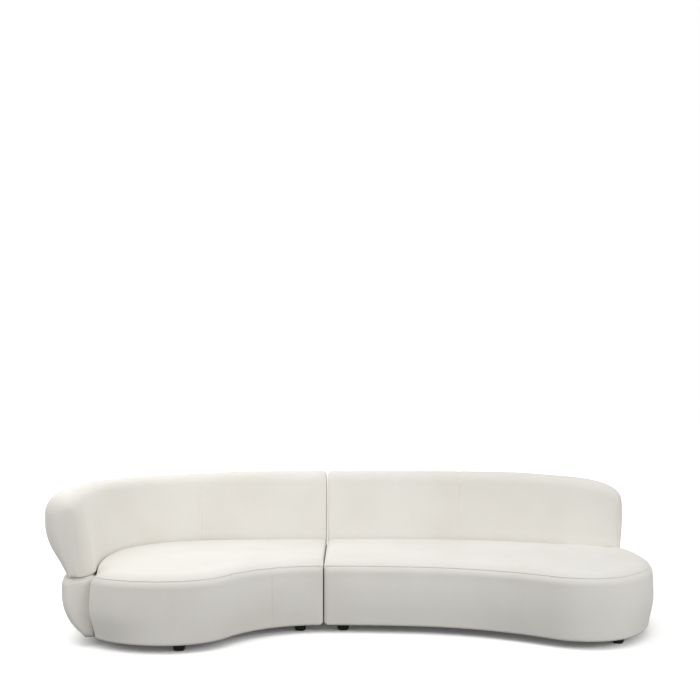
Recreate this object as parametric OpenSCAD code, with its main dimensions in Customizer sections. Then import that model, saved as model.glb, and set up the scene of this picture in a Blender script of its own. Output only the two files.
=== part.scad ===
// Two-module curved sofa: a kidney-shaped seat wrapped by two stacked upholstered rolls,
// carried on plywood plates with low turned feet. Both modules are drawn in one local frame:
// x runs away from the seam between them, y runs to the back and z runs up. The left module
// is the mirror image of that frame. Each plan line is a chain of arcs, [length, turn].

/* [Overall] */
// Height of the top of the back above the floor
overall_h = 870; // [780:5:960]
// Height of the seam between the seat's top panel and its border
seat_seam_h = 400; // [370:5:425]
// Height of the seat's crown above that seam
seat_crown = 30; // [15:1:40]
// Gap between the floor and the underside of the upholstery
skirt_h = 45; // [35:1:60]
// Distance from the front line to the back's inner face, along the seam
seat_depth = 893; // [840:1:960]
// Gap between the two modules' covers when they are pushed together
seam_gap = 6; // [4:0.5:12]

/* [Left module] */
// Length of the left back line's nearly straight stretch
left_back_straight = 815; // [760:5:880]
// Length of the bend where the left back turns into the arm
left_back_bend = 790; // [740:5:850]
// Length of the left arm's inner face
left_arm = 640; // [580:5:680]
// Length of the hollow sweep from the seam towards the left lobe
left_front_sweep = 650; // [600:5:690]
// Length of the first arc round the left lobe
left_lobe = 390; // [360:5:430]

/* [Right module] */
// Length of the right back line's nearly straight stretch
right_back_straight = 620; // [560:5:680]
// Length of the long bend of the right back
right_back_bend = 1025; // [960:5:1090]
// Length of the tighter bend at the right back's end
right_back_tip = 250; // [220:5:280]
// Length of the nearly straight front next to the seam
right_front_straight = 550; // [500:5:600]
// Length of the hollow sweep towards the right lobe
right_front_sweep = 820; // [770:5:860]
// Length of the arc round the right lobe
right_lobe = 520; // [490:5:550]
// Length of the arc from the right lobe into the side
right_shoulder = 600; // [570:5:640]

/* [Upholstery] */
// Thickness of the lower roll outside the back's inner face
lower_roll_t = 188; // [175:1:205]
// Thickness of the upper roll at its fullest
upper_roll_t = 290; // [275:1:320]
// Thickness of both rolls at the seam between them
waist_t = 150; // [140:1:160]
// Lean of the back's inner face from the seat to the top
back_lean = 100; // [80:1:115]
// Radius of the upper roll's free end
nose_r = 110; // [90:1:120]
// Rounding of the cover where a module meets the other
seam_r = 20; // [10:1:30]
// Rounding of the lower roll at the front of the arm
arm_end_r = 45; // [30:1:60]
// Thickness of the padded border round the seat
border_t = 42; // [36:1:50]
// Thickness of the fabric panel on the module's seam side
end_cover_t = 8; // [6:0.5:10]
// Foam left solid at the closed ends of the rolls
end_foam_t = 36; // [34:1:50]
// Clearance between a soft piece and its neighbour
soft_gap = 0.8; // [0.6:0.1:0.9]

/* [Frame] */
// Thickness of the plywood
ply_t = 18; // [15:1:20]
// Thickness of the bent plywood wall behind the border
rail_t = 12; // [9:1:15]
// Height of the deck's top above the floor
deck_h = 250; // [235:1:265]
// Reach of the base panel outside the back's inner face
base_reach = 50; // [46:1:54]
// Foam between the ribs and the outside of the back
rib_cover_t = 42; // [38:1:48]
// Foam between the ribs and the front of the upper roll
rib_face_t = 32; // [30:1:36]
// Width of the bent rails let into the ribs
back_rail_w = 58; // [50:1:64]
// Side of the square posts under the deck
post_w = 40; // [34:1:46]
// Width of the elastic straps across the ribs
strap_w = 50; // [40:1:60]
// Thickness of the straps
strap_t = 2; // [1.5:0.1:2.5]

/* [Springs] */
// Distance between neighbouring zigzag springs
spring_pitch = 118; // [105:1:130]
// Thickness of the spring wire
wire_t = 4; // [3.5:0.1:4.5]
// Width of one zigzag spring
spring_w = 52; // [44:1:60]
// Distance from one cross bar of a spring to the next
spring_step = 24; // [22:1:28]
// Length of the spring opening from front to back
bay_d = 570; // [520:1:600]
// Thickness of the felt pad over the springs
felt_t = 3; // [2:0.5:5]

/* [Feet] */
// Diameter of a foot at its top
foot_top_d = 80; // [70:1:90]
// Diameter of a foot at its bottom
foot_bottom_d = 64; // [56:1:70]
// Distance from a front foot's axis to the border's face
foot_inset = 88; // [84:1:100]
// Thickness of the glide under a foot
glide_t = 3; // [2:0.5:4]
// Diameter of the bolt through a foot
bolt_d = 8; // [6:1:10]

/* [Connector] */
// Thickness of the connector's steel
steel_t = 3; // [2:0.5:3]
// Width of the connector's tongue
tongue_w = 40; // [30:1:50]
// Length of the tongue inside the clamp
tongue_reach = 42; // [36:1:46]
// Clearance between the tongue and each jaw
jaw_gap = 0.5; // [0.4:0.1:0.8]
// Distance of each connector from the base panel's front and back ends
connector_inset = 170; // [150:1:220]
// Diameter of the connector's screws
screw_d = 4; // [3.5:0.5:5]

/* [Hidden] */
$fn = 48;

LEFT = 0;
RIGHT = 1;
cover_color = [0.93, 0.92, 0.88];
ply_color = [0.80, 0.66, 0.45];
wood_color = [0.10, 0.09, 0.08];
steel_color = [0.62, 0.63, 0.65];
felt_color = [0.45, 0.45, 0.44];
strap_color = [0.25, 0.25, 0.27];

// ---- Plan lines: a state is [x, y, turn so far], with the turn taken towards the front ----

function step(p, seg, s) =
    let (turn = seg[1] * s / seg[0])
    abs(turn) < 1e-9
        ? [p.x + s * cos(p.z), p.y - s * sin(p.z), p.z]
        : let (r = seg[0] / (seg[1] * PI / 180))
          [p.x + r * (sin(p.z + turn) - sin(p.z)), p.y + r * (cos(p.z + turn) - cos(p.z)), p.z + turn];

function walk(chain, s, p, i = 0) =
    i == len(chain) - 1 || s <= chain[i][0]
        ? step(p, chain[i], s)
        : walk(chain, s - chain[i][0], step(p, chain[i], chain[i][0]), i + 1);

function sum_len(chain, i = 0) = i == len(chain) ? 0 : chain[i][0] + sum_len(chain, i + 1);

function end_state(chain, p) = walk(chain, sum_len(chain), p);

// The arc that leaves state p along its heading and ends at point q
function closing_arc(p, q) =
    let (half = atan2(p.y - q.y, q.x - p.x) - p.z, chord = norm([q.x - p.x, q.y - p.y]))
    [abs(half) < 1e-6 ? chord : chord * half * PI / 180 / sin(half), 2 * half];

// The straight stretch and the arc that take state p to point q, ending at heading end_turn
function closing_corner(p, q, end_turn) =
    let (ux = cos(p.z), uy = -sin(p.z),
         vx = sin(end_turn) - sin(p.z), vy = cos(end_turn) - cos(p.z),
         dx = q.x - p.x, dy = q.y - p.y,
         det = ux * vy - uy * vx,
         run = (dx * vy - dy * vx) / det,
         r = (ux * dy - uy * dx) / det)
    [[run, 0], [r * (end_turn - p.z) * PI / 180, end_turn - p.z]];

front_start = [0, 0, 0];
back_start = [0, seat_depth, 0];
back_chain = [
    [[left_back_straight, 8], [left_back_bend, 75], [left_arm, 22]],
    [[right_back_straight, 1], [right_back_bend, 28], [right_back_tip, 12]]
];
back_len = [for (m = [LEFT, RIGHT]) sum_len(back_chain[m])];
back_end = [for (m = [LEFT, RIGHT]) end_state(back_chain[m], back_start)];

function beside(chain, p, s, t) =
    let (q = walk(chain, s, p)) [q.x + t * sin(q.z), q.y + t * cos(q.z)];

// A point of the back line, t outside the back's inner face
function back_pt(m, s, t) = beside(back_chain[m], back_start, s, t);

left_lead = [[left_front_sweep, 61], [left_lobe, -59]];
right_lead = [[right_front_straight, 7], [right_front_sweep, 31], [right_lobe, -86], [right_shoulder, -42]];
right_corner = back_pt(RIGHT, back_len[RIGHT], lower_roll_t);
front_chain = [
    concat(left_lead, [closing_arc(end_state(left_lead, front_start), back_end[LEFT])]),
    concat(right_lead, closing_corner(end_state(right_lead, front_start), right_corner,
                                      back_end[RIGHT].z - 180))
];
front_len = [for (m = [LEFT, RIGHT]) sum_len(front_chain[m])];

// A point of the front line, g inside the border's face
function front_pt(m, s, g) = beside(front_chain[m], front_start, s, g);

// ---- Profiles: corners [t, z, radius], counter-clockwise ----

function unit(v) = v / norm(v);
function turn_at(d1, d2) = atan2(d1.x * d2.y - d1.y * d2.x, d1 * d2);

function rounded(c, n = 3) = [
    for (i = [0 : len(c) - 1])
        let (p = [c[i].x, c[i].y],
             before = c[(i + len(c) - 1) % len(c)],
             after = c[(i + 1) % len(c)],
             d1 = unit(p - [before.x, before.y]),
             d2 = unit([after.x, after.y] - p),
             turn = turn_at(d1, d2),
             r = c[i].z,
             start = p - d1 * r * tan(abs(turn) / 2),
             centre = start + sign(turn) * r * [-d1.y, d1.x],
             arm = start - centre)
        let (steps = r < 20 ? ceil(n / 2) : n)
        for (k = [0 : (r > 0 ? steps : 0)])
            let (a = turn * k / steps)
            r > 0
                ? centre + [arm.x * cos(a) - arm.y * sin(a), arm.x * sin(a) + arm.y * cos(a)]
                : p
];

// The same corners with every side moved outwards by e
function outset(c, e) = [
    for (i = [0 : len(c) - 1])
        let (p = [c[i].x, c[i].y],
             before = c[(i + len(c) - 1) % len(c)],
             after = c[(i + 1) % len(c)],
             d1 = unit(p - [before.x, before.y]),
             d2 = unit([after.x, after.y] - p),
             n1 = [d1.y, -d1.x],
             n2 = [d2.y, -d2.x],
             q = p + (n1 + n2) * e / (1 + n1 * n2),
             r = c[i].z > 0 ? max(c[i].z + sign(turn_at(d1, d2)) * e, 1) : 0)
        [q.x, q.y, r]
];

waist_h = seat_seam_h - 4;
base_h = skirt_h + 3;
base_top = base_h + ply_t;
upper_bottom = waist_h + 0.6;
bulge_h = waist_h - 62;

// Outer corners of the rolls, from the outside of the opening to its inside
lower_roll_corners = [
    [base_reach + 10, skirt_h, 8], [lower_roll_t, 165, 110], [lower_roll_t, bulge_h, 45],
    [waist_t, waist_h, 12]
];
upper_roll_corners = [
    [waist_t, upper_bottom, 12], [upper_roll_t - 12, upper_bottom + 200, 150],
    [upper_roll_t, overall_h, 115], [back_lean, overall_h, 80], [0, upper_bottom, 14]
];

// A rib is one board: the lower part holds the lower roll, the upper part the upper roll
rib_top = overall_h - 70;
rib_neck = waist_t - 32;
rib_lower_corners = [
    [0, base_top, 0], [base_reach - 2, base_top, 0], [lower_roll_t - rib_cover_t, 180, 60],
    [lower_roll_t - rib_cover_t, bulge_h, 30], [rib_neck, waist_h - 10, 0], [0, waist_h - 10, 0]
];
rib_upper_corners = [
    [rib_face_t, waist_h - 10, 0], [rib_neck, waist_h - 10, 0], [rib_neck, waist_h + 8, 0],
    [upper_roll_t - 62, upper_bottom + 205, 90], [upper_roll_t - 55, rib_top - 40, 40],
    [upper_roll_t - 90, rib_top, 20], [back_lean + 22, rib_top, 10], [rib_face_t, waist_h + 4, 0]
];
// Room round the frame inside the foam
bend_gap = 2;
upper_room = outset(rib_upper_corners, strap_t + bend_gap);
lower_room = outset(rib_lower_corners, bend_gap);

function reversed(v) = [for (i = [len(v) - 1 : -1 : 0]) v[i]];

// Points spread evenly along a bent line, counts[i] steps on its stretch i, each stretch
// drawn in to its left by lip_bow at the middle
lip_bow = 2;
function spread(line, counts) = concat(
    [for (i = [0 : len(counts) - 1], k = [0 : counts[i] - 1])
        let (d = line[i + 1] - line[i], u = k / counts[i])
        line[i] + d * u + unit([-d.y, d.x]) * lip_bow * sin(180 * u)],
    [line[len(counts)]]
);

// The hollow of each roll, open to the frame, and the same points drawn in to its mouth
upper_mouth = [[upper_room[0].x, upper_bottom], [upper_room[1].x, upper_bottom]];
upper_walls = rounded(concat(
    [for (p = upper_mouth) [p.x, p.y, 0]], [for (i = [2 : 7]) upper_room[i]]
), 2);
upper_open = concat([upper_walls[0]], reversed([for (i = [1 : len(upper_walls) - 1]) upper_walls[i]]));
upper_shut = spread(upper_mouth, [len(upper_open) - 1]);

lower_mouth = [[lower_room[4].x, waist_h], [0, waist_h], [0, skirt_h], [base_reach + bend_gap, skirt_h]];
lower_walls = rounded([
    [lower_mouth[3].x, skirt_h, 0], [lower_mouth[3].x, base_top + bend_gap, 0], lower_room[2],
    lower_room[3], lower_room[4], [lower_mouth[0].x, waist_h, 0], [0, waist_h, 0], [0, skirt_h, 0]
], 2);
lower_open = reversed([for (i = [0 : len(lower_walls) - 3]) lower_walls[i]]);
lower_shut = spread(lower_mouth, [2, len(lower_open) - 4, 1]);

// ---- Lofts ----

soft_pitch = 64;
plate_pitch = soft_pitch / 2;

// Places along a line from s0 to s1: both ends and the multiples of pitch between them, so
// that neighbours drawn at the same pitch bend at the same places and keep their clearance
function stops(s0, s1, pitch) = concat(
    [s0],
    [for (k = [ceil(s0 / pitch + 0.1) : floor(s1 / pitch - 0.1)]) k * pitch],
    [s1]
);

// Stations [s, inset] of an end at s, rounded by r, with the body in direction way
function rounded_end(s, r, way) =
    r > 0
        ? [for (a = [0 : 22.5 : 67.5]) [s + way * r * (1 - cos(a)), r * (1 - sin(a))]]
        : [[s, 0]];

// Rings joined by triangles. A laddered ring runs out along one line and home along another
// with as many points, and its caps are strips between the two. Where hubs are given, the
// caps are fans round them
module loft(rings, laddered = false, hubs = []) {
    n = len(rings[0]);
    last = len(rings) - 1;
    sides = [
        for (i = [0 : last - 1], j = [0 : n - 1])
            let (a = i * n + j, b = i * n + (j + 1) % n, c = b + n, d = a + n)
            each [[a, d, c], [a, c, b]]
    ];
    strips = [for (j = [0 : n / 2 - 2]) each [[j, j + 1, n - 2 - j], [j, n - 2 - j, n - 1 - j]]];
    hub = (last + 1) * n;
    caps = laddered
        ? [each strips, each [for (f = strips) [f[2] + last * n, f[1] + last * n, f[0] + last * n]]]
        : len(hubs) > 0
        ? [for (j = [0 : n - 1])
            let (k = (j + 1) % n) each [[hub, j, k], [hub + 1, last * n + k, last * n + j]]]
        : [[for (j = [0 : n - 1]) j], [for (j = [n - 1 : -1 : 0]) last * n + j]];
    polyhedron(points = concat([for (ring = rings) each ring], hubs), faces = concat(caps, sides));
}

// A profile carried along the back line
module back_loft(m, profile, path) {
    loft([for (s = path) [for (p = profile) let (q = back_pt(m, s, p.x)) [q.x, q.y, p.y]]]);
}

// Point p of a roll's profile at s, where the profile shrinks towards pivot by inset
function drawn_in(m, s, inset, p, pivot, half) =
    let (q = back_pt(m, s, pivot.x + (p.x - pivot.x) * (1 - inset / half.x)))
    [q.x, q.y, pivot.y + (p.y - pivot.y) * (1 - inset / half.y)];

// A padded roll along the back line from s0 to s1: solid for end_foam_t at each end and hollow
// between. Its ends are rounded by r0 and r1, where the profile shrinks towards pivot, and
// their middles lie end_dish deep
end_dish = 1.5;
module roll_loft(m, corners, open, shut, s0, s1, r0, r1, pivot, half) {
    foam0 = s0 + max(end_foam_t, r0);
    foam1 = s1 - max(end_foam_t, r1);
    outer = rounded(corners);
    middle = [for (p = outer) 1] * outer / len(outer);
    path = concat(
        [for (st = rounded_end(s0, r0, 1)) [st[0], st[1], shut]],
        [[foam0, 0, shut]],
        [for (s = stops(foam0, foam1, soft_pitch)) [s, 0, open]],
        [[foam1, 0, shut]],
        [for (st = reversed(rounded_end(s1, r1, -1))) [st[0], st[1], shut]]
    );
    loft([for (st = path) [for (p = concat(outer, st[2])) drawn_in(m, st[0], st[1], p, pivot, half)]],
         hubs = [drawn_in(m, s0 + end_dish, r0, middle, pivot, half),
                 drawn_in(m, s1 - end_dish, r1, middle, pivot, half)]);
}

module front_loft(m, profile, path) {
    loft([
        for (s = path)
            [for (p = profile) let (q = front_pt(m, s, p.x)) [q.x, q.y, p.y]]
    ]);
}

// Points of the closed plan of a panel: front_in inside the border's face, back_out outside
// the back's inner face and x0 from the seam. Outside the inner face it stays tail clear of
// both ends of the back line, where the rolls are solid
function panel(m, front_in, back_out, x0, tail) =
    let (s1 = back_len[m] - tail,
         back_line = back_out > 0 ? stops(tail, s1, plate_pitch) : stops(x0, s1, plate_pitch))
    concat(
        [for (s = stops(x0, front_len[m] - soft_gap, plate_pitch)) front_pt(m, s, front_in)],
        m == RIGHT ? [back_pt(m, back_len[m], -soft_gap)] : [],
        back_out > 0 ? [back_pt(m, s1, -soft_gap)] : [],
        [for (s = reversed(back_line)) back_pt(m, s, back_out)],
        back_out > 0 ? [back_pt(m, tail, -soft_gap), back_pt(m, x0, -soft_gap)] : []
    );

outer_reach = max([for (p = rounded(upper_roll_corners)) p.x]);
function edge_points(m) = concat(
    [for (i = [0 : 200]) front_pt(m, front_len[m] * i / 200, 0)],
    [for (i = [0 : 200]) back_pt(m, (back_len[m] - nose_r) * i / 200, outer_reach)]
);
seam_x = (max([for (p = edge_points(LEFT)) p.x]) - max([for (p = edge_points(RIGHT)) p.x])) / 2;
all_y = [for (m = [LEFT, RIGHT], p = edge_points(m)) p.y];
mid_y = (min(all_y) + max(all_y)) / 2;

module place(m) {
    translate([seam_x, -mid_y, 0]) mirror([m == LEFT ? 1 : 0, 0, 0]) children();
}

// ---- Where things stand ----

foot_h = base_h - glide_t;
front_feet = [[125, 965], [115, 1890]];
back_feet = [[150, 1120, 1960], [150, 960, 1760]];
back_foot_t = -22;
function feet(m) = concat(
    [for (s = front_feet[m]) front_pt(m, s, foot_inset)],
    [for (s = back_feet[m]) back_pt(m, s, back_foot_t)]
);

seam_in = seam_gap / 2;
board_x = seam_in + end_cover_t + soft_gap;
frame_x = board_x + ply_t;
frame_in = border_t + soft_gap;
deck_in = -soft_gap - 1;
bay_side = 70;
bay_forward = 59.9;
bay_x0 = frame_x + bay_side;
// The opening lies a little in front of the middle between the front wall and the back
bay_y0 = (frame_in + seat_depth - bay_d) / 2 - bay_forward;
spring_count = [7, 9];
bay_w = [for (m = [LEFT, RIGHT]) spring_count[m] * spring_pitch];

rib_count = [7, 6];
frame_s0 = seam_in + end_foam_t + 1;
rib_s0 = frame_s0 + ply_t / 2 + 1;
rib_s1 = [for (m = [LEFT, RIGHT]) back_len[m] - nose_r - ply_t];
function rib_s(m, i) = rib_s0 + (rib_s1[m] - rib_s0) * i / (rib_count[m] - 1);

connector_y = [connector_inset, seat_depth - connector_inset];
jaw_mid = base_h - 8.5;
panel_tail = seam_in + max(end_foam_t, arm_end_r) + soft_gap;
foot_top_z = base_h;
tongue_z = base_h - 11;
mouth_x = board_x + 3;
clamp_len = tongue_reach + 18;
jaw_z = tongue_z - jaw_gap - steel_t;
flange_z = base_h - steel_t;
screw_y = [-12, 12];
flange_end = [mouth_x + clamp_len + 24, mouth_x + 60];
spring_z = deck_h;
clip_h = wire_t + 2;
felt_z = deck_h + clip_h + 0.3;
cushion_z = felt_z + felt_t + soft_gap;

// ---- Plates and boards ----

module foot_holes(m, d) {
    for (p = feet(m)) translate([p.x, p.y, 0]) cylinder(d = d, h = 3 * deck_h, center = true);
}

// Where the screws of a module's connectors stand, as [x, y]
screw_x = [mouth_x + clamp_len + 12, mouth_x + 34];
function screws(m) = [for (y = connector_y, dy = screw_y) [screw_x[m], y + dy]];

module base_panel(m) {
    color(ply_color) place(m) difference() {
        translate([0, 0, base_h]) linear_extrude(ply_t)
            polygon(panel(m, frame_in, base_reach, board_x, panel_tail));
        foot_holes(m, tee_barrel_d + 0.4);
        for (p = screws(m)) translate([p.x, p.y, base_h - 1])
            cylinder(d = screw_d + 0.2, h = screw_len + 1);
    }
}

module deck(m) {
    color(ply_color) place(m) translate([0, 0, deck_h - ply_t]) difference() {
        linear_extrude(ply_t) polygon(panel(m, frame_in, deck_in, board_x, panel_tail));
        translate([bay_x0, bay_y0, -1]) cube([bay_w[m], bay_d, ply_t + 2]);
    }
}

module front_wall(m) {
    line = stops(frame_x + 1, front_len[m] - soft_gap, plate_pitch);
    color(ply_color) place(m) translate([0, 0, base_top])
        linear_extrude(deck_h - ply_t - base_top) polygon(concat(
            [for (s = line) front_pt(m, s, frame_in)],
            [for (s = reversed(line)) front_pt(m, s, frame_in + rail_t)]
        ));
}

module end_board(m) {
    color(ply_color) place(m) translate([board_x, frame_in + 1, base_top])
        cube([ply_t, seat_depth - frame_in - 3, deck_h - ply_t - base_top]);
}

// Posts stand beside the opening's corners, the first row just behind the front wall
post_side_gap = 14;
post_wall_gap = 14.2;
post_out = post_side_gap + post_w / 2;
post_front_y = frame_in + rail_t + post_wall_gap + post_w / 2;
function post_spots(m) = [
    for (x = [bay_x0 - post_out, bay_x0 + bay_w[m] + post_out],
         y = [post_front_y, bay_y0 + bay_d + post_out]) [x, y]
];

module deck_posts(m) {
    color(ply_color) place(m) for (p = post_spots(m))
        translate([p.x - post_w / 2, p.y - post_w / 2, base_top])
            cube([post_w, post_w, deck_h - ply_t - base_top]);
}

// ---- Springs ----

// One side of a zigzag of n steps: the wire's edge, off to the left of its centre line
function zigzag_side(n, pitch, off) =
    let (r = pitch / 2, c = spring_w / 2 - r, q = 4)
    concat(
        [[-c, off]],
        [for (k = [0 : n - 1], j = [0 : q])
            let (right = k % 2 == 0,
                 a = right ? -90 + 180 * j / q : -90 - 180 * j / q,
                 rad = right ? r - off : r + off)
            [(right ? c : -c) + rad * cos(a), pitch * (k + 0.5) + rad * sin(a)]],
        [n % 2 == 0 ? [c, n * pitch + off] : [-c, n * pitch - off]]
    );

spring_reach = 14;
spring_n = round((bay_d + 2 * spring_reach) / spring_step);
spring_span = bay_d + 2 * spring_reach;
function spring_x(i) = bay_x0 + spring_pitch * (i + 0.5);

module springs(m) {
    pitch = spring_span / spring_n;
    color(steel_color) place(m) for (i = [0 : spring_count[m] - 1])
        translate([spring_x(i), bay_y0 - spring_reach, spring_z]) linear_extrude(wire_t) polygon(concat(
            zigzag_side(spring_n, pitch, wire_t / 2),
            reversed(zigzag_side(spring_n, pitch, -wire_t / 2))
        ));
}

module spring_clip() {
    clip_w = 18;
    groove = wire_t + 0.6;
    difference() {
        translate([-clip_w / 2, -9, 0]) cube([clip_w, 18, clip_h]);
        translate([-clip_w, -groove / 2, -1]) cube([2 * clip_w, groove, wire_t + 1.3]);
    }
}

module spring_clips(m) {
    color(steel_color) place(m) for (i = [0 : spring_count[m] - 1], y = [-spring_reach, bay_d + spring_reach])
        translate([spring_x(i), bay_y0 + y, deck_h]) spring_clip();
}

module spring_felt(m) {
    color(felt_color) place(m) translate([0, 0, felt_z]) linear_extrude(felt_t)
        polygon(panel(m, frame_in + 1, deck_in, board_x + 1, panel_tail + 2));
}

// ---- Back frame ----

module rib_outline() {
    polygon(rounded(concat(
        [for (i = [0 : 4]) rib_lower_corners[i]],
        [for (i = [2 : 7]) rib_upper_corners[i]],
        [[rib_face_t, waist_h - 10, 0], rib_lower_corners[5]]
    ), 4));
}

top_rail_t = (back_lean + 22 + upper_roll_t - 90 - back_rail_w) / 2;
waist_rail_z = waist_h - 10 - 40 - ply_t;
notch_gap = 0.5;

module back_ribs(m) {
    color(ply_color) place(m) for (i = [0 : rib_count[m] - 1]) {
        q = walk(back_chain[m], rib_s(m, i), back_start);
        translate([q.x, q.y, 0]) rotate([0, 0, 90 - q.z]) rotate([90, 0, 0])
            translate([0, 0, -ply_t / 2]) linear_extrude(ply_t) difference() {
                rib_outline();
                translate([top_rail_t - notch_gap, rib_top - ply_t])
                    square([back_rail_w + 2 * notch_gap, ply_t + 1]);
                translate([-1, waist_rail_z - notch_gap])
                    square([back_rail_w + 1 + 2 * notch_gap, ply_t + 2 * notch_gap]);
            }
    }
}

module bent_rail(m, t, z) {
    line = stops(frame_s0, rib_s1[m] + ply_t / 2, plate_pitch);
    translate([0, 0, z]) linear_extrude(ply_t) polygon(concat(
        [for (s = line) back_pt(m, s, t)],
        [for (s = reversed(line)) back_pt(m, s, t + back_rail_w)]
    ));
}

module top_rail(m) {
    color(ply_color) place(m) bent_rail(m, top_rail_t, rib_top - ply_t);
}

module waist_rail(m) {
    color(ply_color) place(m) bent_rail(m, notch_gap, waist_rail_z);
}

function rib_face(z) = rib_face_t
    + (back_lean + 22 - rib_face_t) * (z - waist_h - 4) / (rib_top - waist_h - 4);

// Straps share the height between the first one's place and the top rail
strap_low = 70;
strap_high = 104;
strap_count = 3;
strap_room = rib_top - strap_high - waist_h - strap_low;

module back_straps(m) {
    color(strap_color) place(m) for (i = [0 : strap_count - 1]) {
        z = waist_h + strap_low + strap_room * i / (strap_count - 1);
        t0 = rib_face(z) - notch_gap;
        t1 = rib_face(z + strap_w) - notch_gap;
        back_loft(m, [[t0 - strap_t, z], [t0, z], [t1, z + strap_w], [t1 - strap_t, z + strap_w]],
                  stops(frame_s0, rib_s1[m] + ply_t / 2, soft_pitch));
    }
}

module dust_cover(m) {
    sheet_t = 1.2;
    color(felt_color) place(m) translate([0, 0, base_h - sheet_t]) difference() {
        linear_extrude(sheet_t)
            polygon(panel(m, frame_in + 12, base_reach - 12, board_x + 12, panel_tail + 12));
        foot_holes(m, foot_top_d + 6);
        for (y = connector_y) translate([0, y - tongue_w / 2 - 4, -1])
            cube([flange_end[m] + 4, tongue_w + 8, sheet_t + 2]);
    }
}

// ---- Soft pieces ----

seat_n = [for (m = [LEFT, RIGHT]) round(max(front_len[m], back_len[m]) / soft_pitch)];

// Closed line round the seat, with its own inset at the front, at the seam and at the back
function seat_ring(m, front_in, x0, back_in, z) =
    let (n = seat_n[m],
         front_stop = front_len[m] - 2 - (m == LEFT ? front_in : back_in),
         back_stop = m == LEFT ? back_len[m] - 200 : back_len[m] + 2 + back_in)
    concat(
        [for (i = [0 : n])
            let (p = front_pt(m, x0 + (front_stop - x0) * i / n, front_in)) [p.x, p.y, z]],
        [for (i = [n : -1 : 0])
            let (p = back_pt(m, x0 + (back_stop - x0) * i / n, -back_in)) [p.x, p.y, z]]
    );

edge_w = 55;
edge_z = seat_seam_h + 0.6;
cushion_back = 2 * soft_gap;

module seat_cushion(m) {
    foam_x = seam_in + end_cover_t + soft_gap;
    color(cover_color) place(m) loft(concat(
        [for (z = [cushion_z, edge_z]) seat_ring(m, frame_in + bend_gap, foam_x, cushion_back, z)],
        [for (k = [0 : 3])
            let (a = 30 * k, g = edge_w * (1 - cos(a)))
            seat_ring(m, g, seam_in + g / 2, cushion_back + g / 4,
                      edge_z + 3 + (seat_crown - 7) * sin(a))],
        [seat_ring(m, 2.6 * edge_w, seam_in + 2.4 * edge_w, 2 * edge_w, seat_seam_h + seat_crown)]
    ), laddered = true);
}

module seat_border(m) {
    corners = [[0, skirt_h, 18], [border_t, skirt_h, 0], [border_t, seat_seam_h, 0], [0, seat_seam_h, 6]];
    color(cover_color) place(m)
        front_loft(m, rounded(corners, 2), stops(seam_in, front_len[m] - 2, plate_pitch));
}

module end_cover(m) {
    color(cover_color) place(m) translate([seam_in, border_t + soft_gap, skirt_h])
        cube([end_cover_t, seat_depth - border_t - 2 * soft_gap, seat_seam_h - skirt_h]);
}

module lower_roll(m) {
    pivot = [lower_roll_t / 2, (skirt_h + waist_h) / 2];
    color(cover_color) place(m)
        roll_loft(m, lower_roll_corners, lower_open, lower_shut,
                  seam_in, back_len[m] - (m == LEFT ? 0 : soft_gap), seam_r, m == LEFT ? arm_end_r : 0,
                  pivot, [pivot.x, waist_h - pivot.y]);
}

module upper_roll(m) {
    color(cover_color) place(m)
        roll_loft(m, upper_roll_corners, upper_open, upper_shut,
                  seam_in, back_len[m] - soft_gap, seam_r, nose_r,
                  [outer_reach / 2, upper_bottom], [outer_reach / 2 + 8, overall_h - upper_bottom]);
}

// ---- Feet ----

tee_barrel_d = bolt_d + 3;
tee_flange_d = 24;
tee_flange_t = 1.5;
head_d = 14;
head_h = 5.5;
counterbore_d = 22;
counterbore_h = 12;
bolt_top = base_top + tee_flange_t;

module foot(m, i) {
    p = feet(m)[i];
    color(wood_color) place(m) translate([p.x, p.y, glide_t]) difference() {
        rotate_extrude() polygon([
            [0, 0], [foot_bottom_d / 2 - 4, 0], [foot_bottom_d / 2, 3], [foot_top_d / 2 - 1, foot_h - 9],
            [foot_top_d / 2, foot_h - 5], [foot_top_d / 2 - 3, foot_h], [0, foot_h]
        ]);
        translate([0, 0, -1]) cylinder(d = bolt_d + 1, h = foot_h + 2);
        translate([0, 0, -1]) cylinder(d = counterbore_d, h = counterbore_h + 1);
    }
}

module foot_glides(m) {
    color(felt_color) place(m) for (p = feet(m)) translate([p.x, p.y, 0])
        cylinder(d = foot_bottom_d - 10, h = glide_t);
}

module foot_bolts(m) {
    z = glide_t + counterbore_h - head_h;
    color(steel_color) place(m) for (p = feet(m)) translate([p.x, p.y, z]) {
        cylinder(d = head_d, h = head_h, $fn = 6);
        cylinder(d = bolt_d, h = bolt_top - z);
    }
}

module tee_nuts(m) {
    color(steel_color) place(m) for (p = feet(m)) translate([p.x, p.y, base_h + 4]) difference() {
        union() {
            cylinder(d = tee_barrel_d, h = ply_t - 4 + tee_flange_t);
            translate([0, 0, ply_t - 4]) cylinder(d = tee_flange_d, h = tee_flange_t);
        }
        translate([0, 0, -1]) cylinder(d = bolt_d + 0.2, h = ply_t + 4);
    }
}

// ---- Connector between the modules ----

screw_len = 12;

module clamp_profile() {
    translate([mouth_x, flange_z]) square([flange_end[LEFT] - mouth_x, steel_t]);
    translate([mouth_x + clamp_len - steel_t, jaw_z]) square([steel_t, base_h - jaw_z]);
    translate([mouth_x, jaw_z]) square([clamp_len, steel_t]);
    polygon([[mouth_x, jaw_z], [mouth_x + 3, jaw_z], [mouth_x + 3, jaw_z + steel_t],
             [mouth_x, jaw_z + steel_t], [mouth_x - 9, jaw_z + steel_t - 3], [mouth_x - 9, jaw_z - 3]]);
    translate([mouth_x + 6, tongue_z + steel_t + jaw_gap])
        square([18, flange_z - tongue_z - steel_t - jaw_gap + 0.1]);
}

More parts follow.
